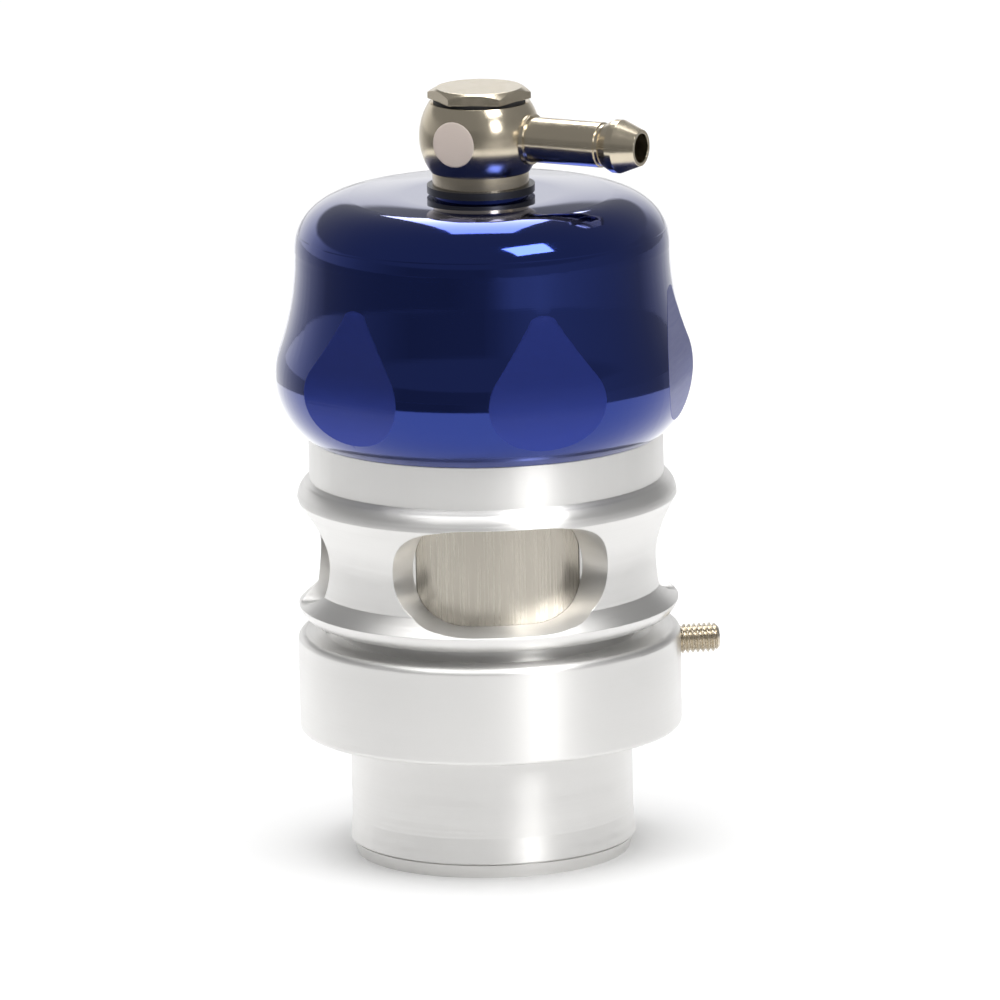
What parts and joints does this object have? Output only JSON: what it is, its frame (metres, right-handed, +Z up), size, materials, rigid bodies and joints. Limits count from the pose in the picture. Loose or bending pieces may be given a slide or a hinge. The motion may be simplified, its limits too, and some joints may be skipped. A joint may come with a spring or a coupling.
{
  "type": "blow-off valve",
  "caption": "Vent-to-atmosphere blow-off valve with a hose spigot, windowed body, sprung piston, threaded cap and swivelling banjo signal fitting.",
  "frame": {"origin": "on the valve's axis, in the bottom face of the hose spigot", "axes": "+Z up along the valve's axis from the spigot to the cap; -Y through the centre of the front vent window"},
  "size_m": [0.0596, 0.0562, 0.1046],
  "materials": {
    "machined_aluminium": "satin, fine turned",
    "piston_aluminium": "satin, lightly brushed lengthwise",
    "blue_anodised": "polished and blue anodised",
    "nickel_plate": "bright nickel plate",
    "nickel_steel": "plated, semi-bright",
    "spring_steel": "oiled spring wire",
    "washer_alloy": "plain",
    "bearing_plastic": "filled fluoropolymer",
    "seal_rubber": "moulded nitrile"
  },
  "bodies": {
    "base": {"base_adaptor": "machined_aluminium"},
    "right_screw": {"clamp_screw_backed_out": "nickel_steel"},
    "rear_screw": {"clamp_screw_home": "nickel_steel"},
    "housing": {"valve_body": "machined_aluminium", "neck_o_ring": "seal_rubber", "cap_o_ring": "seal_rubber"},
    "piston": {"piston": "piston_aluminium", "piston_guide_band": "bearing_plastic", "piston_o_ring": "seal_rubber", "piston_face_seal": "seal_rubber", "spring_shim": "spring_steel", "return_spring": "spring_steel"},
    "preload": {"spring_guide": "machined_aluminium", "thrust_washer": "bearing_plastic"},
    "cap": {"cap": "blue_anodised", "lower_washer": "washer_alloy", "upper_washer": "seal_rubber", "banjo_bolt": "nickel_plate"},
    "banjo": {"banjo_ball": "nickel_plate", "hose_stem": "nickel_plate"}
  },
  "joints": [
    {"name": "body_clocking", "type": "hinge", "parent": "base", "child": "housing", "pos_m": [0, 0, 0.02045], "axis": [0, 0, 1], "continuous": true},
    {"name": "right_screw_drive", "type": "slide", "parent": "base", "child": "right_screw", "axis": [-0.9962, -0.0872, 0], "range_m": [-0.006, 0.00275]},
    {"name": "rear_screw_drive", "type": "slide", "parent": "base", "child": "rear_screw", "axis": [0.5736, -0.8192, 0], "range_m": [-0.006, 0]},
    {"name": "piston_lift", "type": "slide", "parent": "housing", "child": "piston", "axis": [0, 0, 1], "range_m": [0, 0.014], "stiffness_N_per_m": 3500, "springref_m": -0.008, "deforming": ["return_spring"]},
    {"name": "preload_rise", "type": "slide", "parent": "housing", "child": "preload", "axis": [0, 0, 1], "range_m": [0, 0.0045]},
    {"name": "cap_screw", "type": "hinge", "parent": "preload", "child": "cap", "pos_m": [0, 0, 0.0576], "axis": [0, 0, 1], "range_deg": [0, 1080]},
    {"name": "banjo_swivel", "type": "hinge", "parent": "cap", "child": "banjo", "pos_m": [0, 0, 0.09801], "axis": [0, 0, 1], "continuous": true}
  ],
  "couplings": [
    {"joint": "cap_screw", "follows": "preload_rise", "rad_per_m": 4188.8}
  ]
}
